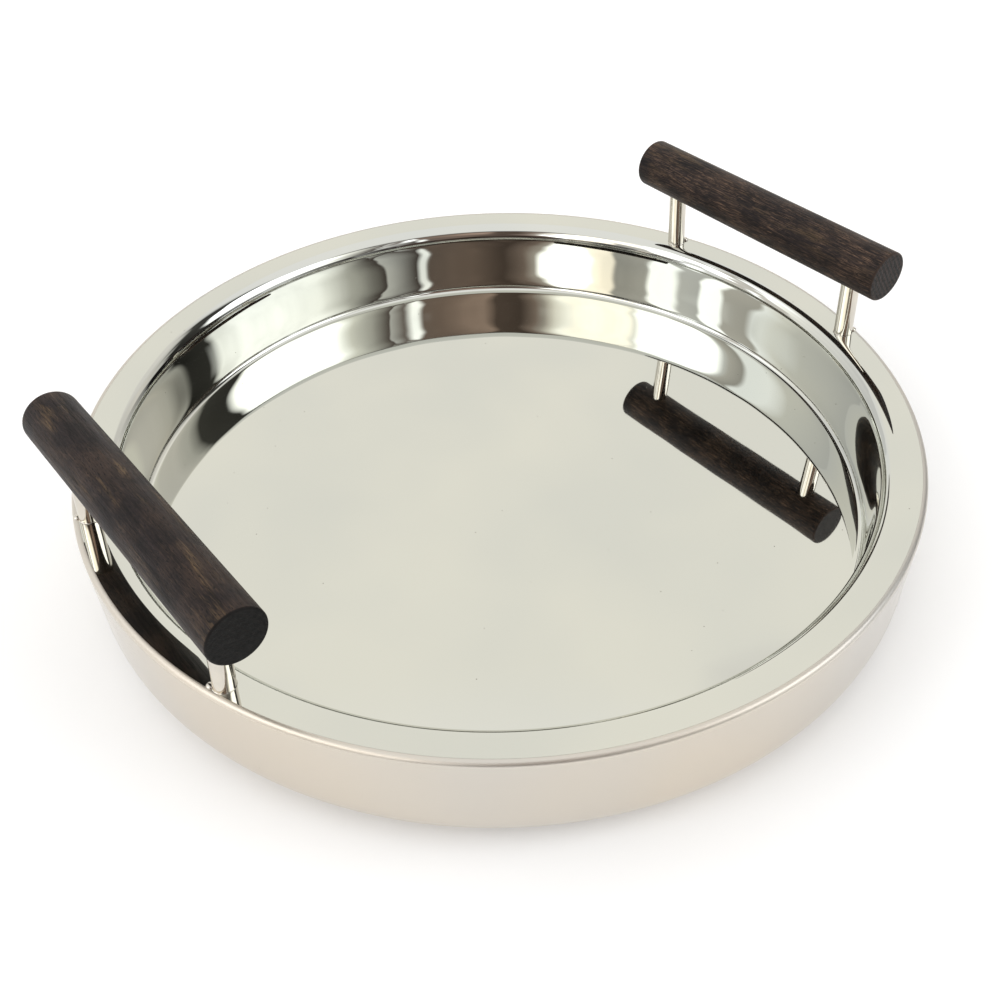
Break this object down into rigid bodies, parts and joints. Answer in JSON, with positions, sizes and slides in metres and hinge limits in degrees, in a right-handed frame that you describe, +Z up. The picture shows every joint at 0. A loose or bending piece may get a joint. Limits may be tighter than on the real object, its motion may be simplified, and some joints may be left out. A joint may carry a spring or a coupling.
{
  "type": "serving tray",
  "caption": "Round double-walled serving tray in mirror-polished steel, with a deep pocket, a wide rim and dark wooden dowel grips on slim metal posts.",
  "frame": {"origin": "centre of the flat base, on the standing surface", "axes": "+Z up through the centre of the pocket; the grips lie along Y, the left one at -X and the right one at +X"},
  "size_m": [0.381, 0.381, 0.1089],
  "materials": {
    "polished_steel": "mirror polished, warm nickel tone",
    "dark_wood": "dark stained, satin, lightly worn along the grain",
    "fastener_steel": "zinc plated",
    "brass": "turned"
  },
  "bodies": {
    "root": {"inner_pan": "polished_steel", "outer_shell": "polished_steel", "grip_left": "dark_wood", "grip_right": "dark_wood", "post_left_front": "polished_steel", "tack_bead_left_front": "polished_steel", "grip_screw_left_front": "fastener_steel", "screw_washer_left_front": "fastener_steel", "grip_insert_left_front": "brass", "post_left_back": "polished_steel", "tack_bead_left_back": "polished_steel", "grip_screw_left_back": "fastener_steel", "screw_washer_left_back": "fastener_steel", "grip_insert_left_back": "brass", "post_right_front": "polished_steel", "tack_bead_right_front": "polished_steel", "grip_screw_right_front": "fastener_steel", "screw_washer_right_front": "fastener_steel", "grip_insert_right_front": "brass", "post_right_back": "polished_steel", "tack_bead_right_back": "polished_steel", "grip_screw_right_back": "fastener_steel", "screw_washer_right_back": "fastener_steel", "grip_insert_right_back": "brass"}
  },
  "joints": []
}
